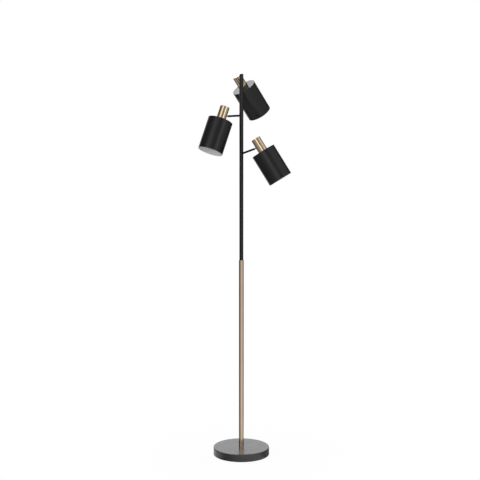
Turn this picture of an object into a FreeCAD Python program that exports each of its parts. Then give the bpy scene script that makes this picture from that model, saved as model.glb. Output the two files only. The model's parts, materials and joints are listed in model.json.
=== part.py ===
import FreeCAD, Part
import math
import os

# Floor lamp: a round weighted foot, a two-colour pole and three spot heads on short arms.
# Millimetres. +Z is up, the front is at -Y, and the origin is the centre of the foot's underside.

# General
overrun = 1.0
fit_gap = 0.05
seat_gap = 0.2
slot_gap = 0.35
upright_share = 0.99

# Foot: cover, weight and pad
base_radius = 113.0
base_height = 32.0
cover_wall = 1.5
cover_rim_round = 2.0
cover_lift = 1.5
pad_thickness = 3.0
pad_inset = 2.5
weight_thickness = 16.0
weight_play = 0.8
weight_edge_round = 1.0

# Under the weight: nut recess, cord channel and a pocket for the terminal block
recess_radius = 15.0
recess_depth = 12.0
channel_width = 12.0
channel_height = 11.5
pocket_width = 24.0
pocket_length = 30.0
pocket_start = 20.0
nipple_radius = 5.0
nipple_bore = 3.5
nipple_above_cover = 20.0
nipple_below_nut = 1.0
washer_radius = 12.0
washer_thickness = 1.5
nut_across_flats = 17.0
nut_side_count = 6
nut_height = 5.5
spacer_wall = 3.0
block_width = 18.0
block_length = 22.0
block_height = 9.0
block_screw_radius = 2.0
block_screw_depth = 3.0
block_screw_count = 3
block_row_shares = (0.25, 0.75)
block_play = 2.0

# Cord inlet at the back of the cover
inlet_height = 9.0
inlet_bore = 3.3
grommet_neck_radius = 5.0
grommet_flange_radius = 6.5
grommet_flange = 1.6
grommet_inside = 3.0
grommet_round = 0.6

# Pole
lower_radius = 10.0
lower_wall = 1.5
upper_radius = 8.0
upper_wall = 1.5
colour_change_height = 796.0
pole_height = 1532.0
lower_rim_round = 0.6
foot_plug_length = 25.0
coupler_inside_lower = 24.0
coupler_shoulder_drop = 6.0
coupler_spigot = 25.0
coupler_bore = 4.0
cap_thickness = 1.5
cap_spigot = 8.0
cap_round = 0.4

# Cable inside the pole
cable_radius = 1.5
cable_bend = 5.0
cable_below_arm = 6.0

# Arm: a tube that hangs between two pointed screws inside the pole
arm_radius = 4.0
arm_bore = 2.55
arm_length = 60.5
arm_end_wall = 3.0
arm_end_round = 0.5
arm_rise_low = -5.0
arm_rise_high = 30.0
pivot_tip_radius = 1.15
pivot_tip_length = 1.0
pivot_body_radius = 1.5
pivot_sunk = 0.15
pivot_shoulder_gap = 0.3
pivot_socket_radius = 0.8
pivot_socket_depth = 1.5

# Swivel stud in the arm's end: head, shank, neck and eye
shank_radius = 2.0
stud_head_radius = 2.4
stud_head_length = 1.2
stud_play = 0.15
neck_radius = 2.6
eye_radius = 4.5
eye_width = 5.0
stud_bore = 1.2
pin_reach = 75.5

# Head: sizes along its own axis are counted from the shade's top
pin_above_shade = 22.5
pin_off_axis = 11.5
pin_radius = 1.5
tilt_low = -5.0
tilt_high = 40.0
knuckle_below_pin = 8.0
knuckle_above_pin = 14.5
knuckle_bore = 3.5
knuckle_slot_floor = 0.5
cup_radius = 19.0
cup_height = 57.0
cup_wall = 1.2
cup_upper_wall = 4.0
cup_top = 2.5
cup_round = 0.8
holder_nipple_grip = 6.0
holder_nipple_bore = 3.0

# Lampholder, shade and shade ring
holder_radius = 14.0
holder_length = 43.0
holder_top = 4.0
shell_wall = 0.5
shell_length = 20.0
shade_radius = 49.0
shade_length = 130.0
shade_wall = 0.8
shade_rim_round = 0.6
ring_outer_radius = 19.5
ring_height = 7.0
ring_notch_count = 12
ring_notch_radius = 1.0

# Bulb
bulb_cap_radius = 7.0
bulb_cap_length = 20.0
bulb_contact_radius = 2.5
bulb_contact_length = 2.0
bulb_radius = 22.5
bulb_glass = 0.8
bulb_neck_radius = 7.6
bulb_length = 76.0

# The three heads as they stand: how far below the pole's top the arm's pivot is, which way the arm
# points, how far it rises, how far the head is swivelled about the arm and tilted outward at the neck
heads = {
    "left": {"drop": 162.3, "azimuth": 210.0, "rise": -2.8, "swivel": 4.3, "tilt": 25.6},
    "right": {"drop": 312.6, "azimuth": 335.0, "rise": 19.1, "swivel": 8.9, "tilt": 11.7},
    "back": {"drop": 33.6, "azimuth": 90.0, "rise": 0.0, "swivel": -32.0, "tilt": 20.5},
}

V = FreeCAD.Vector
X, Y, Z = V(1, 0, 0), V(0, 1, 0), V(0, 0, 1)
ORIGIN = V(0, 0, 0)

# Heights that follow from the sizes above
weight_bottom = pad_thickness
weight_top = weight_bottom + weight_thickness
cover_underside = base_height - cover_wall
recess_roof = weight_bottom + recess_depth
nut_top = recess_roof - washer_thickness
nut_bottom = nut_top - nut_height
nipple_bottom = nut_bottom - nipple_below_nut
shoulder_height = colour_change_height - coupler_shoulder_drop
tube_top = pole_height - cap_thickness
socket_radius = bulb_cap_radius + fit_gap + shell_wall + fit_gap


def cylinder(radius, start, end, along=Z):
    """A round bar between two distances along an axis through the origin."""
    return Part.makeCylinder(radius, end - start, along * start, along)


def tube(outer, inner, start, end, along=Z):
    return cylinder(outer, start, end, along).cut(cylinder(inner, start - overrun, end + overrun, along))


def block(low, high):
    size = high - low
    return Part.makeBox(size.x, size.y, size.z, low)


def turned(points):
    """A solid of revolution about Z from (radius, height) points."""
    corners = [V(radius, 0, height) for radius, height in points]
    face = Part.Face(Part.makePolygon(corners + corners[:1]))
    return face.revolve(ORIGIN, Z, 360)


def hexagon(across_flats, start, end):
    half_side_turn = math.pi / nut_side_count
    corner = V(across_flats / 2 / math.cos(half_side_turn), 0, start)
    corners = [FreeCAD.Rotation(Z, 360 * step / nut_side_count).multVec(corner)
               for step in range(nut_side_count + 1)]
    return Part.Face(Part.makePolygon(corners)).extrude(Z * (end - start))


def long_slot(half_width, bottom, top, start, end):
    """A bar along X with round upper and lower ends, for cutting a slot."""
    ends = [cylinder(half_width, start, end, X) for _ in range(2)]
    ends[0].translate(Z * bottom)
    ends[1].translate(Z * top)
    middle = block(V(start, -half_width, bottom), V(end, half_width, top))
    return middle.fuse(ends[0]).fuse(ends[1])


def circles_at(shape, height, radius):
    """The round edges of a shape that lie at a height and have a radius."""
    found = []
    for edge in shape.Edges:
        curve = edge.Curve
        if isinstance(curve, Part.Circle):
            level = abs(curve.Center.z - height) < fit_gap and abs(curve.Axis.z) > upright_share
            if level and abs(curve.Radius - radius) < fit_gap:
                found.append(edge)
    return found


def placed(shape, frame):
    shape.Placement = frame.multiply(shape.Placement)
    return shape


def save(name, shape):
    shape.exportStep(os.path.join("parts", name + ".step"))


# Foot

def make_base_cover():
    outside = cylinder(base_radius, cover_lift, base_height)
    outside = outside.makeFillet(cover_rim_round, circles_at(outside, base_height, base_radius))
    inside = cylinder(base_radius - cover_wall, cover_lift - overrun, cover_underside)
    inside = inside.makeFillet(cover_rim_round - cover_wall,
                               circles_at(inside, cover_underside, base_radius - cover_wall))
    nipple_hole = cylinder(nipple_radius + seat_gap, cover_underside - overrun, base_height + overrun)
    inlet = cylinder(grommet_neck_radius + fit_gap, 0, base_radius + overrun, Y)
    inlet.translate(Z * inlet_height)
    return outside.cut(inside).cut(nipple_hole).cut(inlet)


def make_base_weight():
    radius = base_radius - cover_wall - weight_play
    body = cylinder(radius, weight_bottom, weight_top)
    body = body.makeFillet(weight_edge_round, circles_at(body, weight_top, radius))
    recess = cylinder(recess_radius, weight_bottom - overrun, recess_roof)
    hole = cylinder(nipple_radius + seat_gap, weight_bottom, weight_top + overrun)
    channel = block(V(-channel_width / 2, 0, weight_bottom - overrun),
                    V(channel_width / 2, base_radius, weight_bottom + channel_height))
    pocket = block(V(-pocket_width / 2, pocket_start, weight_bottom - overrun),
                   V(pocket_width / 2, pocket_start + pocket_length, weight_bottom + channel_height))
    return body.cut(recess).cut(hole).cut(channel).cut(pocket)


def make_terminal_block():
    start = pocket_start + block_play
    body = block(V(-block_width / 2, start, pad_thickness),
                 V(block_width / 2, start + block_length, pad_thickness + block_height))
    top = pad_thickness + block_height
    pitch = block_width / block_screw_count
    for index in range(block_screw_count):
        place = (index - (block_screw_count - 1) / 2) * pitch
        for share in block_row_shares:
            hole = cylinder(block_screw_radius, top - block_screw_depth, top + overrun)
            hole.translate(V(place, start + block_length * share, 0))
            body = body.cut(hole)
    return body


def make_cord_grommet():
    wall_outside = base_radius
    neck = cylinder(grommet_neck_radius, wall_outside - cover_wall - grommet_inside, wall_outside, Y)
    flange = cylinder(grommet_flange_radius, wall_outside, wall_outside + grommet_flange, Y)
    rim = [edge for edge in flange.Edges
           if isinstance(edge.Curve, Part.Circle) and edge.Curve.Center.y > wall_outside]
    flange = flange.makeFillet(grommet_round, rim)
    bore = cylinder(inlet_bore, 0, wall_outside + grommet_flange + overrun, Y)
    body = neck.fuse(flange).cut(bore).removeSplitter()
    body.translate(Z * inlet_height)
    return body


def make_foot():
    bore = nipple_radius + fit_gap
    spacer_radius = bore + spacer_wall
    lower_bore = lower_radius - lower_wall
    return {
        "base_cover": make_base_cover(),
        "base_weight": make_base_weight(),
        "base_pad": cylinder(base_radius - cover_wall - pad_inset, 0, pad_thickness),
        "base_spacer": tube(spacer_radius, bore, weight_top, cover_underside),
        "threaded_nipple": tube(nipple_radius, nipple_bore, nipple_bottom, base_height + nipple_above_cover),
        "foot_washer": tube(washer_radius, bore, nut_top, recess_roof),
        "foot_nut": hexagon(nut_across_flats, nut_bottom, nut_top).cut(
            cylinder(bore, nut_bottom - overrun, nut_top + overrun)),
        "pole_foot": tube(lower_bore - fit_gap, bore, base_height, base_height + foot_plug_length),
        "cord_grommet": make_cord_grommet(),
        "terminal_block": make_terminal_block(),
    }


# Pole

def make_lower_pole():
    body = tube(lower_radius, lower_radius - lower_wall, base_height, colour_change_height)
    return body.makeFillet(lower_rim_round, circles_at(body, colour_change_height, lower_radius))


def make_coupler():
    plug = cylinder(lower_radius - lower_wall - fit_gap, shoulder_height - coupler_inside_lower, shoulder_height)
    spigot = cylinder(upper_radius - upper_wall - fit_gap, shoulder_height, shoulder_height + coupler_spigot)
    bore = cylinder(coupler_bore, 0, pole_height)
    return plug.fuse(spigot).cut(bore).removeSplitter()


def arm_slot():
    """The opening that one arm leaves the pole through, for an arm along +X."""
    width = arm_radius + slot_gap
    low, high = math.radians(arm_rise_low), math.radians(arm_rise_high)
    top = upper_radius * math.tan(high) + arm_radius / math.cos(high) + slot_gap - width
    bottom = upper_radius * math.tan(low) - arm_radius / math.cos(low) - slot_gap + width
    return long_slot(width, bottom, top, 0, upper_radius + overrun)


def pivot_hole():
    reach = upper_radius + overrun
    return cylinder(pivot_body_radius + fit_gap, -reach, reach, Y)


def make_upper_pole():
    body = tube(upper_radius, upper_radius - upper_wall, shoulder_height, tube_top)
    for head in heads.values():
        body = body.cut(placed(arm_slot(), pivot_frame(head)))
        body = body.cut(placed(pivot_hole(), pivot_frame(head)))
    return body


def make_pole_cap():
    disc = cylinder(upper_radius, tube_top, pole_height)
    disc = disc.makeFillet(cap_round, circles_at(disc, pole_height, upper_radius))
    spigot = cylinder(upper_radius - upper_wall - fit_gap, tube_top - cap_spigot, tube_top)
    return disc.fuse(spigot).removeSplitter()


def make_pole_cable():
    """Straight up the pole from a quarter bend in the weight's recess."""
    level = pad_thickness + seat_gap + cable_radius
    top = min(pivot_height(head) for head in heads.values()) - cable_below_arm
    bend_top = V(0, 0, level + cable_bend)
    bend_end = V(0, cable_bend, level)
    slant = cable_bend * (1 - math.sqrt(0.5))
    bend = Part.Arc(bend_top, V(0, slant, level + slant), bend_end)
    path = Part.Wire([
        Part.LineSegment(V(0, 0, top), bend_top).toShape(),
        bend.toShape(),
        Part.LineSegment(bend_end, V(0, pocket_start + block_play, level)).toShape(),
    ])
    section = Part.Wire(Part.makeCircle(cable_radius, V(0, 0, top), Z))
    return path.makePipeShell([section], True, False)


def make_pivot_screws():
    """Two pointed screws for each arm, one from each side of the pole."""
    tip_end = arm_radius - pivot_tip_length
    shoulder = arm_radius + pivot_shoulder_gap
    outside = upper_radius - pivot_sunk
    screws = []
    for head in heads.values():
        for side in (Y, -Y):
            tip = cylinder(pivot_tip_radius, tip_end, shoulder, side)
            body = cylinder(pivot_body_radius, shoulder, outside, side)
            socket = cylinder(pivot_socket_radius, outside - pivot_socket_depth, outside + overrun, side)
            screw = tip.fuse(body).cut(socket).removeSplitter()
            screws.append(placed(screw, pivot_frame(head)))
    return Part.makeCompound(screws)


def make_pole():
    return {
        "lower_pole": make_lower_pole(),
        "pole_coupler": make_coupler(),
        "upper_pole": make_upper_pole(),
        "pole_cap": make_pole_cap(),
        "pole_cable": make_pole_cable(),
        "pivot_screws": make_pivot_screws(),
    }


# Frames of the moving pieces: X points along the arm, or outward from the pole on a head

def pivot_height(head):
    return pole_height - head["drop"]


def pivot_frame(head):
    return FreeCAD.Placement(Z * pivot_height(head), FreeCAD.Rotation(Z, head["azimuth"]))


def arm_frame(head):
    return pivot_frame(head).multiply(FreeCAD.Placement(ORIGIN, FreeCAD.Rotation(Y, -head["rise"])))


def stud_frame(head):
    return arm_frame(head).multiply(FreeCAD.Placement(ORIGIN, FreeCAD.Rotation(X, head["swivel"])))


def head_frame(head):
    return stud_frame(head).multiply(FreeCAD.Placement(X * pin_reach, FreeCAD.Rotation(Y, -head["tilt"])))


# Arm and stud, drawn along +X from the pivot

def make_arm():
    body = cylinder(arm_radius, 0, arm_length, X)
    end_rim = [edge for edge in body.Edges
               if isinstance(edge.Curve, Part.Circle) and edge.Curve.Center.x > arm_length - fit_gap]
    body = body.makeFillet(arm_end_round, end_rim).fuse(Part.makeSphere(arm_radius))
    bore = cylinder(arm_bore, -arm_radius - overrun, arm_length - arm_end_wall, X)
    shank_hole = cylinder(shank_radius + fit_gap, arm_length - arm_end_wall - overrun, arm_length + overrun, X)
    tip_holes = cylinder(pivot_tip_radius + fit_gap, -arm_radius - overrun, arm_radius + overrun, Y)
    return body.cut(bore).cut(shank_hole).cut(tip_holes).removeSplitter()


def make_swivel_stud():
    head_end = arm_length - arm_end_wall - stud_play
    head = cylinder(stud_head_radius, head_end - stud_head_length, head_end, X)
    shank = cylinder(shank_radius, head_end, arm_length + stud_play, X)
    neck = cylinder(neck_radius, arm_length + stud_play, pin_reach, X)
    eye = cylinder(eye_radius, -eye_width / 2, eye_width / 2, Y)
    eye.translate(X * pin_reach)
    flats = block(V(pin_reach - eye_radius, -eye_width / 2, -eye_radius),
                  V(pin_reach + eye_radius, eye_width / 2, eye_radius))
    beside_eye = cylinder(neck_radius, pin_reach - eye_radius, pin_reach, X).cut(flats)
    pin_hole = cylinder(pin_radius + fit_gap, -eye_width, eye_width, Y)
    pin_hole.translate(X * pin_reach)
    wire_way = cylinder(stud_bore, head_end - stud_head_length - overrun, pin_reach - eye_radius, X)
    body = head.fuse(shank).fuse(neck.cut(beside_eye)).fuse(eye)
    return body.cut(pin_hole).cut(wire_way).removeSplitter()


# Head, drawn with the pin on Y through the origin, the shade's axis along Z at x = pin_off_axis

def on_axis(shape):
    """Move a shape turned about Z, with z = 0 at the shade's top, to its place in the head."""
    shape.translate(V(pin_off_axis, 0, -pin_above_shade))
    return shape


def neck_slot(half_width):
    """The way that the neck sweeps as the head tilts, from the pin toward the pole."""
    low, high = math.radians(tilt_low), math.radians(tilt_high)
    wall = cup_radius - pin_off_axis
    bottom = wall * math.tan(low) - neck_radius / math.cos(low) - slot_gap + half_width
    top = wall * math.tan(high) + neck_radius / math.cos(high) + slot_gap - half_width
    return long_slot(half_width, bottom, top, -cup_radius - pin_off_axis, 0)


def make_cup():
    shoulder = pin_above_shade + knuckle_above_pin
    lower_bore = cup_radius - cup_wall
    upper_bore = cup_radius - cup_upper_wall
    ceiling = cup_height - cup_top
    body = turned([
        (lower_bore, 0), (cup_radius, 0), (cup_radius, cup_height), (0, cup_height),
        (0, ceiling), (upper_bore, ceiling), (upper_bore, shoulder), (lower_bore, shoulder),
    ])
    body = body.makeFillet(cup_round, circles_at(body, cup_height, cup_radius))
    return on_axis(body).cut(neck_slot(neck_radius + slot_gap))


def make_knuckle():
    """The block in the cup that holds the pin, with a slot for the eye and a screwed hole below."""
    radius = cup_radius - cup_wall - fit_gap
    bottom = pin_above_shade - knuckle_below_pin
    top = pin_above_shade + knuckle_above_pin
    body = on_axis(tube(radius, knuckle_bore, bottom, top))
    nipple_hole = on_axis(cylinder(nipple_radius + fit_gap, bottom - overrun, bottom + holder_nipple_grip))
    half_width = eye_width / 2 + seat_gap
    eye_way = block(V(-cup_radius, -half_width, -eye_radius - knuckle_slot_floor),
                    V(eye_radius + knuckle_slot_floor, half_width, knuckle_above_pin + overrun))
    neck_way = neck_slot(neck_radius + slot_gap)
    neck_way.translate(-X * (eye_radius - knuckle_slot_floor))
    pin_hole = cylinder(pin_radius + fit_gap / 2, -cup_radius, cup_radius, Y)
    return body.cut(nipple_hole).cut(eye_way).cut(neck_way).cut(pin_hole)


def make_knuckle_pin():
    radius = cup_radius - cup_wall - fit_gap
    half_length = math.sqrt(radius ** 2 - (pin_off_axis + pin_radius) ** 2) - seat_gap
    return cylinder(pin_radius, -half_length, half_length, Y)


def make_holder_nipple():
    bottom = pin_above_shade - knuckle_below_pin
    return on_axis(tube(nipple_radius, holder_nipple_bore, bottom - holder_top, bottom + holder_nipple_grip))


def make_lampholder():
    top = pin_above_shade - knuckle_below_pin
    body = cylinder(holder_radius, top - holder_length, top)
    socket = cylinder(socket_radius, top - holder_length - overrun, top - holder_top)
    hole = cylinder(nipple_radius + fit_gap, top - holder_top - overrun, top + overrun)
    return on_axis(body.cut(socket).cut(hole))


def make_screw_shell():
    """The thin brass sleeve that the bulb screws into, low in the lampholder."""
    outer = socket_radius - fit_gap
    bottom = pin_above_shade - knuckle_below_pin - holder_length
    return on_axis(tube(outer, outer - shell_wall, bottom + seat_gap, bottom + seat_gap + shell_length))


def make_shade():
    outside = cylinder(shade_radius, -shade_length, 0)
    outside = outside.makeFillet(shade_rim_round, circles_at(outside, 0, shade_radius))
    inside = cylinder(shade_radius - shade_wall, -shade_length - overrun, -shade_wall)
    hole = cylinder(holder_radius + seat_gap, -shade_wall - overrun, overrun)
    return on_axis(outside.cut(inside).cut(hole))


def make_shade_ring():
    ring = tube(ring_outer_radius, holder_radius + fit_gap, -shade_wall - ring_height, -shade_wall)
    notch = cylinder(ring_notch_radius, -shade_wall - ring_height - overrun, -shade_wall + overrun)
    notch.translate(X * ring_outer_radius)
    for step in range(ring_notch_count):
        cut = notch.copy()
        cut.rotate(ORIGIN, Z, 360 * step / ring_notch_count)
        ring = ring.cut(cut)
    return on_axis(ring)


def bulb_levels():
    """Heights of the bulb's contact and of its glass, from the shade's top."""
    holder_bottom = pin_above_shade - knuckle_below_pin - holder_length
    cap_bottom = holder_bottom - seat_gap
    cap_top = cap_bottom + bulb_cap_length
    return cap_top, cap_bottom, cap_top + bulb_contact_length - bulb_length


def make_bulb_cap():
    cap_top, cap_bottom, _ = bulb_levels()
    skirt = cylinder(bulb_cap_radius, cap_bottom, cap_top)
    contact = cylinder(bulb_contact_radius, cap_top, cap_top + bulb_contact_length)
    return on_axis(skirt.fuse(contact).removeSplitter())


def bulb_form(shrink):
    """A globe that runs into a straight neck, smaller by shrink all round."""
    _, cap_bottom, bottom = bulb_levels()
    globe = Part.makeSphere(bulb_radius - shrink, V(0, 0, bottom + bulb_radius))
    neck_length = cap_bottom - bottom - bulb_radius
    neck = Part.makeCone((bulb_radius - shrink) * math.sqrt(0.5), bulb_neck_radius - shrink,
                         neck_length - bulb_radius * math.sqrt(0.5),
                         V(0, 0, bottom + bulb_radius * (1 + math.sqrt(0.5))))
    return globe.fuse(neck).removeSplitter()


def make_bulb_globe():
    return on_axis(bulb_form(0).cut(bulb_form(bulb_glass)))


def make_head(head):
    """Each piece of one head, and the frame that it is placed by."""
    turned_in_head = {
        "knuckle": make_knuckle(),
        "knuckle_pin": make_knuckle_pin(),
        "cup": make_cup(),
        "holder_nipple": make_holder_nipple(),
        "lampholder": make_lampholder(),
        "screw_shell": make_screw_shell(),
        "shade": make_shade(),
        "shade_ring": make_shade_ring(),
        "bulb_cap": make_bulb_cap(),
        "bulb_globe": make_bulb_globe(),
    }
    pieces = {"arm": (make_arm(), arm_frame(head)), "swivel_stud": (make_swivel_stud(), stud_frame(head))}
    for name, shape in turned_in_head.items():
        pieces[name] = (shape, head_frame(head))
    return pieces


def main():
    os.makedirs("parts", exist_ok=True)
    for name, shape in {**make_foot(), **make_pole()}.items():
        save(name, shape)
    for side, head in heads.items():
        for name, (shape, frame) in make_head(head).items():
            save(side + "_" + name, placed(shape, frame))


main()
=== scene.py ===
import json
import math

import bmesh
import bpy
from mathutils import Matrix, Vector


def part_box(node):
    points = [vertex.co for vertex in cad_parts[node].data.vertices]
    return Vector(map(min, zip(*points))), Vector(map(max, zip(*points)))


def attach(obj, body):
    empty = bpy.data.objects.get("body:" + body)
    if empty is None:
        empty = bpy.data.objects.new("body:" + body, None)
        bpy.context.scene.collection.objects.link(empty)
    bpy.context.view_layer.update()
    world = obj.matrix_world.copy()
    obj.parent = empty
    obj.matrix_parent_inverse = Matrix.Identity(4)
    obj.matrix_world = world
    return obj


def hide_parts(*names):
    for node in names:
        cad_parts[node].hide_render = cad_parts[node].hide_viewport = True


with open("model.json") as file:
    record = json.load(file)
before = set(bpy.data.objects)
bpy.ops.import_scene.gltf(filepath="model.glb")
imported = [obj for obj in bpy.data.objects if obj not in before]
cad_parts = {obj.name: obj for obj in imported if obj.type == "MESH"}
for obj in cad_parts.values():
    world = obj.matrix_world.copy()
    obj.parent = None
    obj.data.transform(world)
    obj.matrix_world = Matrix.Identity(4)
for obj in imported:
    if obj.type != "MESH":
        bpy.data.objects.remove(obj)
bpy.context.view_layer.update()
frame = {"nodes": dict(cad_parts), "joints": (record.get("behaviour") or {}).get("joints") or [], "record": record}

# Metres, in the lamp's own frame: +Z up, -Y towards the camera, origin under the foot's centre
MM = 0.001
SIDES = ("left", "right", "back")

# How far the heads may tilt towards and away from the pole, which fixes where they stand at rest
TILT_IN = math.radians(-5)
TILT_OUT = math.radians(40)

# Small edges that are only broken, on the foot, the tube and the cups
EDGE_ROUND = 0.3 * MM

# The foot's cover and pad
COVER_ROUND = 2.0 * MM
COVER_WALL = 1.5 * MM
PAD_ROUND = 0.8 * MM

# Radius of the grommet's waist, which the cover's hole takes, and the depth of the drill that makes the hole
GROMMET_WAIST = 5.05 * MM
DRILL_DEPTH = 4 * COVER_WALL

# Lower tube
TUBE_WALL = 1.5 * MM
TUBE_ROUND = 0.6 * MM

# Shades
SHADE_WALL = 0.8 * MM
SHADE_ROUND = 0.6 * MM
SHADE_RIM_ROUND = SHADE_WALL / 3

# Cups, with the slot that the neck sweeps through
CUP_ROUND = 0.8 * MM
CUP_WALL = 1.2 * MM
CUP_TOP = 2.5 * MM
NECK_RADIUS = 2.6 * MM
SLOT_GAP = 0.35 * MM

# Bulbs: how far round from its end the globe runs before the glass curves into the neck
GLASS = 0.8 * MM
BULB_TURN = math.radians(128)
BULB_NECK = 7.6 * MM

# How finely round pieces are cut, how far a rounded edge holds the flat beside it, and the sharpest
# crease that is still shaded smooth
SEGMENTS = 128
FOOT_SEGMENTS = 256
ARC_STEPS = 6
SLOT_STEPS = 12
BULB_STEPS = 40
NECK_STEPS = 12
HOLD = 0.25 * MM
SHARP = math.radians(35)

# Camera: one that isn't turned looks straight down, so it is lifted to level first. Its lens and sensor
# are in millimetres.
CAMERA_PLACE = Vector((-0.0054, -4.17, 1.315))
CAMERA_LEVEL = math.radians(90)
CAMERA_PITCH = math.radians(-6)
CAMERA_LENS = 78.83
CAMERA_SENSOR = 36

# In what follows, stops are (place, level) pairs, and a band is the two values between which one level
# turns smoothly into another. Directions are seen from the lamp.

# The light that matt surfaces gather from all round
WORLD_FILL = 0.6

# The studio that glosses mirror: stops from the left, -1, to the right, 1, below and above the horizon
LOW_STUDIO_STOPS = ((-1, 0.12), (-0.8, 0.36), (-0.3, 0.75), (0.1, 0.98), (0.3, 0.98), (0.6, 0.85), (1, 0.55))
HIGH_STUDIO_STOPS = ((-1, 0.2), (-0.5, 0.35), (0.2, 0.3), (0.5, 0.36), (0.8, 1), (1, 0.55))
HORIZON_BAND = (-0.08, 0.12)

# The studio's floor is a little darker far off, where a direction dips less steeply
FAR_FLOOR_BAND = (-0.27, -0.12)
FAR_FLOOR_LOSS = 0.13

# Behind the lamp the studio keeps a small share of its light, but for a bright backdrop; the backdrop's
# band is in cosines of the angle from its middle
REAR_BAND = (0.1, 0.5)
REAR_SHARE = 0.15
BACKDROP_WAY = Vector((-0.12, 0.993, 0))
BACKDROP_BAND = (0.75, 0.93)

# The floor: a disc just below the pad, clear under the foot up to a little inside the pad's edge, that
# fades out from one distance to its rim. The glow is how much of it is plain white; the rest takes shadow.
FLOOR_DROP = 0.2 * MM
FLOOR_TUCK = 2 * MM
FLOOR_RADIUS = 0.6
FLOOR_FADE = 0.2
FLOOR_COLOUR = (0.9, 0.9, 0.9, 1)
FLOOR_GLOW = 0.96

# What glosses see on the floor near the foot, by turn from the camera's side, -1 to 1 for half a turn left
# to half a turn right, and the distances between which that turns into the low studio. These levels are
# painted shade: near the foot the floor glows dimmer to glosses, as if it lay in the foot's shadow.
FLOOR_STOPS = ((-0.5, 0.56), (-0.36, 0.6), (-0.29, 0.35), (-0.24, 0.2), (0, 0.6), (0.2, 0.72), (0.29, 0.66),
               (0.38, 0.2), (0.5, 0.16))
FLOOR_NEAR_BAND = (0.18, 0.24)

# Lamps round the point that they face: name, degrees from the camera's side to the right and upward,
# distance, width and height, and radiance
LIT_POINT = Vector((0, 0, 1.25))
SOFTBOXES = (
    ("left_softbox", -33, 22, 5.75, (3.7, 4.6), 1.25),
    ("front_softbox", -6.5, 8, 5.75, (1.9, 2.9), 1.45),
    ("right_softbox", 45, 13, 5.0, (1.3, 2.4), 1.45),
    ("rear_softbox", -155.4, 33.7, 4.0, (1.7, 1.7), 3.1),
)

# The values of a noise that a change of gloss and a change of tone are spread over
GLOSS_BAND = (0.3, 0.7)
TINT_BAND = (0.35, 0.65)

# Lines left by drawing run along a tube's length, and those left by turning run round a piece
DRAWN = {"stretch": (1, 1, 0.01), "source": "Object"}
TURNED = {"stretch": (0.001, 1, 1), "source": "UV"}


# Nodes and materials

class Tree:
    """Short calls for building a node tree. An input is a plain value or another node's output."""

    def __init__(self, owner):
        owner.use_nodes = True
        self.tree = owner.node_tree
        self.tree.nodes.clear()

    def feed(self, node, inputs):
        """Set or link inputs of a node."""
        for socket, value in dict(inputs).items():
            if isinstance(value, bpy.types.NodeSocket):
                self.tree.links.new(value, node.inputs[socket])
            else:
                node.inputs[socket].default_value = value

    def node(self, kind, inputs=(), **settings):
        """A new node."""
        node = self.tree.nodes.new(kind)
        for name, value in settings.items():
            setattr(node, name, value)
        self.feed(node, inputs)
        return node

    def add(self, kind, inputs=(), **settings):
        """A new node's outputs."""
        return self.node(kind, inputs, **settings).outputs

    def math(self, operation, first, second):
        return self.add("ShaderNodeMath", {0: first, 1: second}, operation=operation)["Value"]

    def step_between(self, value, band):
        """0 below a band and 1 above it, smooth between."""
        inputs = {"Value": value, "From Min": band[0], "From Max": band[1]}
        return self.add("ShaderNodeMapRange", inputs, interpolation_type="SMOOTHSTEP")["Result"]

    def blend(self, first, second, share):
        """The first level where the share is 0, and the second where it is 1."""
        rise = self.math("SUBTRACT", second, first)
        return self.math("ADD", first, self.math("MULTIPLY", rise, share))

    def ramp(self, value, stops):
        """A colour along a value that runs from 0 to 1."""
        node = self.node("ShaderNodeValToRGB", {"Fac": value})
        elements = node.color_ramp.elements
        elements[0].position = stops[0][0]
        elements[1].position = stops[-1][0]
        for place, _ in stops[1:-1]:
            elements.new(place)
        for element, (_, colour) in zip(elements, stops):
            element.color = (*colour, 1)
        return node.outputs["Color"]

    def graded(self, value, stops):
        """A grey level along a value that runs from -1 to 1."""
        share = self.add("ShaderNodeMapRange", {"Value": value, "From Min": -1})["Result"]
        return self.ramp(share, [((place + 1) / 2, (level, level, level)) for place, level in stops])


class Finish:
    """A principled material with calls that add its detail."""

    def __init__(self, name, colour, roughness, metallic=0.0, ior=1.5, coat=0.0, coat_roughness=0.06):
        self.material = bpy.data.materials.new(name)
        self.colour = colour
        self.roughness = roughness
        self.tree = Tree(self.material)
        self.shader = self.tree.node("ShaderNodeBsdfPrincipled", {
            "Base Color": (*colour, 1), "Roughness": roughness, "Metallic": metallic, "IOR": ior,
            "Coat Weight": coat, "Coat Roughness": coat_roughness})
        self.tree.add("ShaderNodeOutputMaterial", {"Surface": self.shader.outputs["BSDF"]})

    def set(self, inputs):
        self.tree.feed(self.shader, inputs)

    def noise(self, size, detail=3.0, stretch=(1, 1, 1), source="Object"):
        """Noise of one grain size, drawn out along an axis where stretch is small."""
        place = self.tree.add("ShaderNodeTexCoord")[source]
        place = self.tree.add("ShaderNodeMapping", {"Vector": place, "Scale": stretch})["Vector"]
        inputs = {"Vector": place, "Scale": 1 / size, "Detail": detail}
        return self.tree.add("ShaderNodeTexNoise", inputs)["Fac"]

    def bump(self, texture, strength, depth):
        inputs = {"Height": texture, "Strength": strength, "Distance": depth}
        self.set({"Normal": self.tree.add("ShaderNodeBump", inputs)["Normal"]})

    def vary_tone(self, texture, darkest, lightest):
        """Colour that follows the texture between two shares of itself."""
        tones = [tuple(channel * share for channel in self.colour) for share in (darkest, lightest)]
        self.set({"Base Color": self.tree.ramp(texture, list(zip(TINT_BAND, tones)))})

    def vary_gloss(self, texture, smoother, rougher):
        """Roughness that follows the texture to both sides of its mean."""
        inputs = {"Value": texture, "From Min": GLOSS_BAND[0], "From Max": GLOSS_BAND[1],
                  "To Min": self.roughness - smoother, "To Max": self.roughness + rougher}
        self.set({"Roughness": self.tree.add("ShaderNodeMapRange", inputs)["Result"]})


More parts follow.
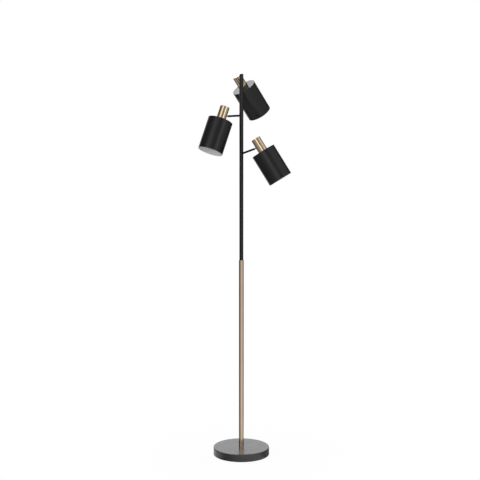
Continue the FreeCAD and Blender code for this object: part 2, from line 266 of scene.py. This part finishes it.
def powder_coat(name, colour, roughness, ior=1.45, coat=0.0, grain=0.9 * MM):
    """Sprayed paint: a fine orange peel, with slow changes in gloss and tone."""
    finish = Finish(name, colour, roughness, ior=ior, coat=coat, coat_roughness=0.24)
    finish.bump(finish.noise(grain, detail=2.0), strength=0.12, depth=0.04 * MM)
    slow = finish.noise(40 * MM, detail=4.0)
    finish.vary_tone(slow, darkest=0.92, lightest=1.08)
    finish.vary_gloss(slow, smoother=0.03, rougher=0.03)
    return finish.material


def lined_brass(name, colour, roughness, lines):
    """Brass colour metal with the fine lines that drawing or turning leaves."""
    finish = Finish(name, colour, roughness, metallic=1.0)
    fine = finish.noise(0.35 * MM, **lines)
    finish.bump(fine, strength=0.08, depth=0.02 * MM)
    finish.vary_tone(finish.noise(60 * MM), darkest=0.96, lightest=1.03)
    finish.vary_gloss(fine, smoother=0.04, rougher=0.04)
    return finish.material


def plain_metal(name, colour, roughness):
    """Plated or turned metal, with a fine uneven polish."""
    finish = Finish(name, colour, roughness, metallic=1.0)
    polish = finish.noise(1.2 * MM)
    finish.bump(polish, strength=0.1, depth=0.02 * MM)
    finish.vary_gloss(polish, smoother=0.05, rougher=0.08)
    return finish.material


def moulded(name, colour, roughness, grain=0.6 * MM):
    """Plastic or rubber, with the skin that its mould gave it."""
    finish = Finish(name, colour, roughness, ior=1.45)
    skin = finish.noise(grain, detail=2.0)
    finish.bump(skin, strength=0.15, depth=0.03 * MM)
    finish.vary_gloss(skin, smoother=0.04, rougher=0.05)
    return finish.material


def cast(name, colour, roughness):
    """Raw iron, as the sand left it."""
    finish = Finish(name, colour, roughness, metallic=0.4)
    sand = finish.noise(1.5 * MM, detail=5.0)
    finish.bump(sand, strength=0.5, depth=0.3 * MM)
    finish.vary_tone(sand, darkest=0.7, lightest=1.2)
    return finish.material


def opal(name, colour, roughness):
    """Milk glass: soft light through a smooth skin."""
    finish = Finish(name, colour, roughness, coat=0.4)
    finish.set({"Subsurface Weight": 0.35, "Subsurface Radius": (4 * MM, 4 * MM, 3.6 * MM),
                "Subsurface Scale": 1.0})
    finish.vary_tone(finish.noise(25 * MM, detail=2.0), darkest=0.98, lightest=1.0)
    return finish.material


# Each finish: what makes it, its colour and roughness, and what else its maker takes
FINISHES = {
    "foot_paint": (powder_coat, (0.006, 0.0058, 0.0056), 0.36, {"ior": 1.52, "coat": 1.0}),
    "pole_paint": (powder_coat, (0.004, 0.004, 0.004), 0.32, {"ior": 1.4, "grain": 0.5 * MM}),
    # The arms' paint is the pole's black made darker and matter: the darker colour is painted shade
    "arm_paint": (powder_coat, (0.002, 0.002, 0.002), 0.45, {"ior": 1.25, "grain": 0.5 * MM}),
    "shade_paint": (powder_coat, (0.004, 0.004, 0.0042), 0.34, {"ior": 1.42}),
    "shade_white": (powder_coat, (0.78, 0.78, 0.77), 0.45, {}),
    "brass_finish": (lined_brass, (0.62, 0.475, 0.345), 0.14, {"lines": DRAWN}),
    "cup_brass": (lined_brass, (0.585, 0.465, 0.32), 0.12, {"lines": TURNED}),
    "neck_brass": (plain_metal, (0.30, 0.23, 0.13), 0.3, {}),
    "shell_brass": (plain_metal, (0.75, 0.6, 0.35), 0.3, {}),
    "weight_iron": (cast, (0.12, 0.12, 0.12), 0.7, {}),
    "pad_rubber": (moulded, (0.02, 0.02, 0.02), 0.8, {"grain": 1.5 * MM}),
    "bright_steel": (plain_metal, (0.6, 0.6, 0.6), 0.3, {}),
    "screw_steel": (plain_metal, (0.06, 0.06, 0.06), 0.4, {}),
    "cast_alloy": (plain_metal, (0.6, 0.6, 0.6), 0.45, {}),
    "cap_alloy": (plain_metal, (0.75, 0.75, 0.75), 0.25, {}),
    "black_plastic": (moulded, (0.02, 0.02, 0.02), 0.4, {}),
    "white_plastic": (moulded, (0.75, 0.75, 0.73), 0.4, {}),
    "cable_sheath": (moulded, (0.02, 0.02, 0.02), 0.45, {}),
    "opal_glass": (opal, (0.86, 0.86, 0.83), 0.12, {}),
}
materials = {name: make(name, colour, roughness, **more)
             for name, (make, colour, roughness, more) in FINISHES.items()}


# The frame: each node's finish and body, and the heads' own frames, read from the joints

slot_of = {piece["node"]: piece["material_slot"] for piece in frame["record"]["subparts"]}
body_of = {node: body for body, nodes in frame["record"]["behaviour"]["bodies"].items() for node in nodes}
joint_named = {joint["name"]: joint for joint in frame["joints"]}


def paint(piece, slot):
    """The piece takes one finish all over."""
    piece.data.materials.clear()
    piece.data.materials.append(materials[slot])


def head_matrix(side):
    """The head's own frame: origin on its pin, x outward from the pole, z towards the cup's top."""
    swivel = joint_named[side + "_head_swivel"]
    tilt = joint_named[side + "_head_tilt"]
    arm_axis = Vector(swivel["axis"])
    upright = Vector(tilt["axis"]).cross(arm_axis)
    angle = TILT_IN - math.radians(tilt["range_deg"][0])
    up = upright * math.cos(angle) - arm_axis * math.sin(angle)
    out = arm_axis * math.cos(angle) + upright * math.sin(angle)
    place = Matrix((out, up.cross(out), up)).transposed().to_4x4()
    place.translation = Vector(tilt["pos_m"])
    return place


def box_in(place, node):
    """Lowest and highest corners of a CAD node in a frame of its own."""
    inverse = place.inverted()
    points = [inverse @ vertex.co for vertex in frame["nodes"][node].data.vertices]
    low = Vector([min(point[axis] for point in points) for axis in range(3)])
    high = Vector([max(point[axis] for point in points) for axis in range(3)])
    return low, high


def on_head_axis(side, node):
    """Where a head's node has its axis, and its radius and lowest and highest heights along that axis."""
    head = head_matrix(side)
    low, high = box_in(head, node)
    axis = head @ Matrix.Translation(((low.x + high.x) / 2, (low.y + high.y) / 2, 0))
    return axis, (high.x - low.x) / 2, low.z, high.z


# Turned pieces

def new_piece(name, form):
    """A new object with the form's mesh; the form is used up."""
    mesh = bpy.data.meshes.new(name)
    form.to_mesh(mesh)
    form.free()
    piece = bpy.data.objects.new(name, mesh)
    bpy.context.scene.collection.objects.link(piece)
    return piece


def smooth(mesh):
    mesh.shade_smooth()
    mesh.set_sharp_from_angle(angle=SHARP)


def outline(*corners):
    """Points along (radius, height, rounding) corners: a rounded corner is an arc between two held flats."""
    points = []
    for index, (across, up, rounding) in enumerate(corners):
        here = Vector((across, up))
        if rounding == 0:
            points.append(here)
            continue
        before = (Vector(corners[index - 1][:2]) - here).normalized()
        after = (Vector(corners[(index + 1) % len(corners)][:2]) - here).normalized()
        half = before.angle(after) / 2
        reach = rounding / math.tan(half)
        middle = here + (before + after).normalized() * rounding / math.sin(half)
        first = here + before * reach - middle
        last = here + after * reach - middle
        points.append(here + before * (reach + HOLD))
        for step in range(ARC_STEPS + 1):
            points.append(middle + first.lerp(last, step / ARC_STEPS).normalized() * rounding)
        points.append(here + after * (reach + HOLD))
    return points


def lathe(name, points, closed=True, segments=SEGMENTS):
    """A solid of revolution about Z; an outline that isn't closed starts and ends on the axis.

    A point on the axis is a ring of one vertex. The UV layer holds the share of a turn and the distance
    along the outline.
    """
    form = bmesh.new()
    turns = [math.tau * step / segments for step in range(segments)]
    rings = []
    for across, up in points:
        spots = [(across * math.cos(turn), across * math.sin(turn), up) for turn in turns]
        if across == 0:
            spots = spots[:1]
        rings.append([form.verts.new(spot) for spot in spots])
    turned = form.loops.layers.uv.new("turned")
    following = rings[1:] + rings[:1] if closed else rings[1:]
    along = 0
    for index, (near, far) in enumerate(zip(rings, following)):
        travelled = along + math.dist(points[index], points[(index + 1) % len(points)])
        for step in range(segments):
            place_of = {}
            for ring, turn, distance in ((near, step, along), (near, step + 1, along),
                                         (far, step + 1, travelled), (far, step, travelled)):
                place_of[ring[turn % len(ring)]] = (turn / segments, distance)
            for loop in form.faces.new(list(place_of)).loops:
                loop[turned].uv = place_of[loop.vert]
        along = travelled
    bmesh.ops.recalc_face_normals(form, faces=form.faces)
    piece = new_piece(name, form)
    smooth(piece.data)
    return piece


def put(piece, place):
    """Move a mesh, rather than its object, so that the object's box stays tight."""
    piece.data.transform(place)


def cut_by(piece, cutter):
    """Cut one mesh by another, which is then gone."""
    modifier = piece.modifiers.new("cut", "BOOLEAN")
    modifier.operation = "DIFFERENCE"
    modifier.solver = "EXACT"
    modifier.object = cutter
    bpy.context.view_layer.update()
    evaluated = piece.evaluated_get(bpy.context.evaluated_depsgraph_get())
    mesh = bpy.data.meshes.new_from_object(evaluated)
    piece.modifiers.clear()
    piece.data = mesh
    smooth(mesh)
    bpy.data.objects.remove(cutter)


def dress(piece, node):
    """The piece stands for a CAD node, on the node's body and with its finish."""
    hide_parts(node)
    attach(piece, body_of[node])
    paint(piece, slot_of[node])


# Stand

def make_foot_cover():
    low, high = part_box("base_cover")
    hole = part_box("threaded_nipple")[1][0]
    bottom, top, radius = low[2], high[2], high[0]
    inner, ceiling = radius - COVER_WALL, top - COVER_WALL
    piece = lathe("foot_cover", outline(
        (hole, top, 0), (radius, top, COVER_ROUND), (radius, bottom, EDGE_ROUND),
        (inner, bottom, EDGE_ROUND), (inner, ceiling, COVER_ROUND - COVER_WALL), (hole, ceiling, 0)),
        segments=FOOT_SEGMENTS)
    cut_by(piece, grommet_drill())
    dress(piece, "base_cover")


def grommet_drill():
    """A bar through the cover's rear wall, where the grommet sits."""
    low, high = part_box("cord_grommet")
    drill = lathe("drill", outline(
        (0, 0, 0), (GROMMET_WAIST, 0, 0), (GROMMET_WAIST, DRILL_DEPTH, 0), (0, DRILL_DEPTH, 0)),
        closed=False)
    start = Matrix.Translation((0, high[1] - DRILL_DEPTH, (low[2] + high[2]) / 2))
    put(drill, start @ Matrix.Rotation(-math.pi / 2, 4, "X"))
    return drill


def make_foot_pad():
    low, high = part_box("base_pad")
    bottom, top, radius = low[2], high[2], high[0]
    piece = lathe("foot_pad", outline(
        (0, bottom, 0), (radius, bottom, PAD_ROUND), (radius, top, PAD_ROUND), (0, top, 0)), closed=False)
    dress(piece, "base_pad")


def make_lower_tube():
    low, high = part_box("lower_pole")
    bottom, top, radius = low[2], high[2], high[0]
    inner = radius - TUBE_WALL
    piece = lathe("lower_tube", outline(
        (radius, bottom, 0), (radius, top, TUBE_ROUND), (inner, top, EDGE_ROUND), (inner, bottom, 0)))
    dress(piece, "lower_pole")


# Heads

def make_shade(side):
    place, radius, bottom, top = on_head_axis(side, side + "_shade")
    hole = on_head_axis(side, side + "_lampholder")[1]
    inner, ceiling = radius - SHADE_WALL, top - SHADE_WALL
    piece = lathe(side + "_shade_shell", outline(
        (hole, top, 0), (radius, top, SHADE_ROUND), (radius, bottom, SHADE_RIM_ROUND),
        (inner, bottom, SHADE_RIM_ROUND), (inner, ceiling, SHADE_ROUND), (hole, ceiling, 0)))
    dress(piece, side + "_shade")
    piece.data.materials.append(materials["shade_white"])
    for face in piece.data.polygons:
        across = math.hypot(face.center.x, face.center.y)
        if across < radius - SHADE_WALL / 2 and face.center.z < top - SHADE_WALL / 2:
            face.material_index = 1
    put(piece, place)


def make_cup(side):
    place, radius, bottom, top = on_head_axis(side, side + "_cup")
    inner, ceiling = radius - CUP_WALL, top - CUP_TOP
    piece = lathe(side + "_cup_shell", outline(
        (0, top, 0), (radius, top, CUP_ROUND), (radius, bottom, EDGE_ROUND), (inner, bottom, 0),
        (inner, ceiling, 0), (0, ceiling, 0)), closed=False)
    put(piece, place)
    cut_by(piece, neck_way(side))
    dress(piece, side + "_cup")


def neck_way(side):
    """A round-ended bar along the neck's sweep through the cup's wall."""
    head = head_matrix(side)
    wall = -box_in(head, side + "_cup")[0].x
    half_width = NECK_RADIUS + SLOT_GAP
    bottom = wall * math.tan(TILT_IN) - NECK_RADIUS / math.cos(TILT_IN) - SLOT_GAP + half_width
    top = wall * math.tan(TILT_OUT) + NECK_RADIUS / math.cos(TILT_OUT) + SLOT_GAP - half_width
    form = bmesh.new()
    turns = [math.pi * step / SLOT_STEPS for step in range(SLOT_STEPS + 1)]
    edge = [(half_width * math.cos(turn), top + half_width * math.sin(turn)) for turn in turns]
    edge += [(-half_width * math.cos(turn), bottom - half_width * math.sin(turn)) for turn in turns]
    face = form.faces.new([form.verts.new((-2 * wall, across, up)) for across, up in edge])
    grown = bmesh.ops.extrude_face_region(form, geom=[face])
    moved = [item for item in grown["geom"] if isinstance(item, bmesh.types.BMVert)]
    bmesh.ops.translate(form, verts=moved, vec=(2 * wall, 0, 0))
    bmesh.ops.recalc_face_normals(form, faces=form.faces)
    bar = new_piece("neck_way", form)
    put(bar, head)
    return bar


def bulb_curve(radius, neck, middle, top):
    """Points from the globe's end, round the globe and on in one smooth curve to the neck's end."""
    curve = []
    for step in range(BULB_STEPS + 1):
        turn = BULB_TURN * step / BULB_STEPS
        curve.append(Vector((radius * math.sin(turn), middle - radius * math.cos(turn))))
    leave, arrive = curve[-1], Vector((neck, top))
    pull = (arrive - leave).length / 3
    near = leave + Vector((math.cos(BULB_TURN), math.sin(BULB_TURN))) * pull
    far = arrive - Vector((0, pull))
    for step in range(1, NECK_STEPS + 1):
        share = step / NECK_STEPS
        rest = 1 - share
        curve.append(leave * rest ** 3 + near * 3 * rest ** 2 * share + far * 3 * rest * share ** 2
                     + arrive * share ** 3)
    return curve


def make_bulb(side):
    """A hollow globe whose curve runs on into the neck."""
    place, radius, bottom, top = on_head_axis(side, side + "_bulb_globe")
    middle = bottom + radius
    outside = bulb_curve(radius, BULB_NECK, middle, top)
    inside = bulb_curve(radius - GLASS, BULB_NECK - GLASS, middle, top)
    piece = lathe(side + "_bulb_glass", outside + inside[::-1], closed=False)
    put(piece, place)
    dress(piece, side + "_bulb_globe")


# Camera, floor and light

def make_camera():
    data = bpy.data.cameras.new("camera")
    data.lens = CAMERA_LENS
    data.sensor_width = CAMERA_SENSOR
    camera = bpy.data.objects.new("camera", data)
    camera.location = CAMERA_PLACE
    camera.rotation_euler = (CAMERA_LEVEL + CAMERA_PITCH, 0, 0)
    bpy.context.scene.collection.objects.link(camera)
    bpy.context.scene.camera = camera


def seen_straight(tree, ray):
    """1 for rays from the camera, also through glass, and 0 for those that gather light or a gloss."""
    return tree.math("MAXIMUM", ray["Is Camera Ray"], ray["Is Transmission Ray"])


def floor_look(tree, place, distance):
    """White to the camera, and the studio's grades to glosses, with a share that takes the lamp's shadow."""
    ray = tree.add("ShaderNodeLightPath")
    part = tree.add("ShaderNodeSeparateXYZ", {"Vector": place})
    turn = tree.math("ARCTAN2", part["X"], tree.math("MULTIPLY", part["Y"], -1.0))
    # near: painted shade, the floor by the foot glows dimmer to glosses as if in the foot's shadow
    near = tree.graded(tree.math("DIVIDE", turn, math.pi), FLOOR_STOPS)
    far = tree.graded(tree.math("DIVIDE", part["X"], distance), LOW_STUDIO_STOPS)
    mirrored = tree.blend(near, far, tree.step_between(distance, FLOOR_NEAR_BAND))
    straight = tree.math("SUBTRACT", 1.0, ray["Is Glossy Ray"])
    glow = tree.add("ShaderNodeEmission", {"Strength": tree.math("MAXIMUM", straight, mirrored)})
    matt = tree.add("ShaderNodeBsdfDiffuse", {"Color": FLOOR_COLOUR})
    seen = tree.math("MAXIMUM", seen_straight(tree, ray), ray["Is Glossy Ray"])
    mix = {"Fac": tree.math("MULTIPLY", seen, FLOOR_GLOW), 1: matt["BSDF"], 2: glow["Emission"]}
    return tree.add("ShaderNodeMixShader", mix)["Shader"]


def floor_gaps(tree, distance):
    """1 where the floor is clear: at its faded rim, under the foot, and seen from below."""
    faded = tree.step_between(distance, (FLOOR_FADE, FLOOR_RADIUS))
    from_below = tree.add("ShaderNodeNewGeometry")["Backfacing"]
    under_foot = tree.math("LESS_THAN", distance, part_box("base_pad")[1][0] - FLOOR_TUCK)
    return tree.math("MAXIMUM", tree.math("MAXIMUM", faded, from_below), under_foot)


def make_floor():
    """A pale disc that takes the lamp's shadow and fades out."""
    form = bmesh.new()
    bmesh.ops.create_circle(form, cap_ends=True, radius=FLOOR_RADIUS, segments=SEGMENTS)
    floor = new_piece("floor", form)
    floor.location.z = -FLOOR_DROP
    material = bpy.data.materials.new("floor_white")
    tree = Tree(material)
    place = tree.add("ShaderNodeTexCoord")["Object"]
    distance = tree.add("ShaderNodeVectorMath", {0: place}, operation="LENGTH")["Value"]
    clear = tree.add("ShaderNodeBsdfTransparent")["BSDF"]
    mix = {"Fac": floor_gaps(tree, distance), 1: floor_look(tree, place, distance), 2: clear}
    tree.add("ShaderNodeOutputMaterial", {"Surface": tree.add("ShaderNodeMixShader", mix)["Shader"]})
    floor.data.materials.append(material)


def mirrored_studio(tree):
    """The studio as glosses see it, brighter on one side and dark behind the lamp, with a bright backdrop."""
    direction = tree.add("ShaderNodeTexCoord")["Generated"]
    part = tree.add("ShaderNodeSeparateXYZ", {"Vector": direction})
    lost = tree.math("MULTIPLY", tree.step_between(part["Z"], FAR_FLOOR_BAND), FAR_FLOOR_LOSS)
    low = tree.math("MULTIPLY", tree.graded(part["X"], LOW_STUDIO_STOPS), tree.math("SUBTRACT", 1.0, lost))
    high = tree.graded(part["X"], HIGH_STUDIO_STOPS)
    studio = tree.blend(low, high, tree.step_between(part["Z"], HORIZON_BAND))
    dimmed = tree.math("MULTIPLY", tree.step_between(part["Y"], REAR_BAND), 1 - REAR_SHARE)
    studio = tree.math("MULTIPLY", studio, tree.math("SUBTRACT", 1.0, dimmed))
    facing = tree.add("ShaderNodeVectorMath", {0: direction, 1: BACKDROP_WAY}, operation="DOT_PRODUCT")
    return tree.math("MAXIMUM", studio, tree.step_between(facing["Value"], BACKDROP_BAND))


def make_world():
    """White behind the lamp, as the camera sees it, and a graded studio around it for glosses."""
    world = bpy.data.worlds.new("studio")
    bpy.context.scene.world = world
    tree = Tree(world)
    ray = tree.add("ShaderNodeLightPath")
    fill = tree.math("MULTIPLY", ray["Is Diffuse Ray"], WORLD_FILL)
    mirrored = tree.math("MULTIPLY", ray["Is Glossy Ray"], mirrored_studio(tree))
    gathered = tree.math("MAXIMUM", fill, mirrored)
    strength = tree.math("MAXIMUM", gathered, seen_straight(tree, ray))
    background = tree.add("ShaderNodeBackground", {"Color": (1, 1, 1, 1), "Strength": strength})
    tree.add("ShaderNodeOutputWorld", {"Surface": background["Background"]})


def make_softbox(name, azimuth, elevation, distance, size, radiance):
    """A rectangular light that faces the heads."""
    turn, lift = math.radians(azimuth), math.radians(elevation)
    toward = Vector((math.sin(turn) * math.cos(lift), -math.cos(turn) * math.cos(lift), math.sin(lift)))
    data = bpy.data.lights.new(name, "AREA")
    data.shape = "RECTANGLE"
    data.size, data.size_y = size
    data.energy = radiance * math.pi * size[0] * size[1]
    lamp = bpy.data.objects.new(name, data)
    lamp.location = LIT_POINT + toward * distance
    lamp.rotation_euler = toward.to_track_quat("Z", "Y").to_euler()
    bpy.context.scene.collection.objects.link(lamp)


for node_name, node_object in frame["nodes"].items():
    # The arms take the darker copy of the black paint, which is painted shade on them
    paint(node_object, "arm_paint" if node_name.endswith("_arm") else slot_of[node_name])
make_foot_cover()
make_foot_pad()
make_lower_tube()
for side_name in SIDES:
    make_shade(side_name)
    make_cup(side_name)
    make_bulb(side_name)
bpy.context.scene.view_settings.view_transform = "Standard"
make_camera()
make_floor()
make_world()
for softbox in SOFTBOXES:
    make_softbox(*softbox)
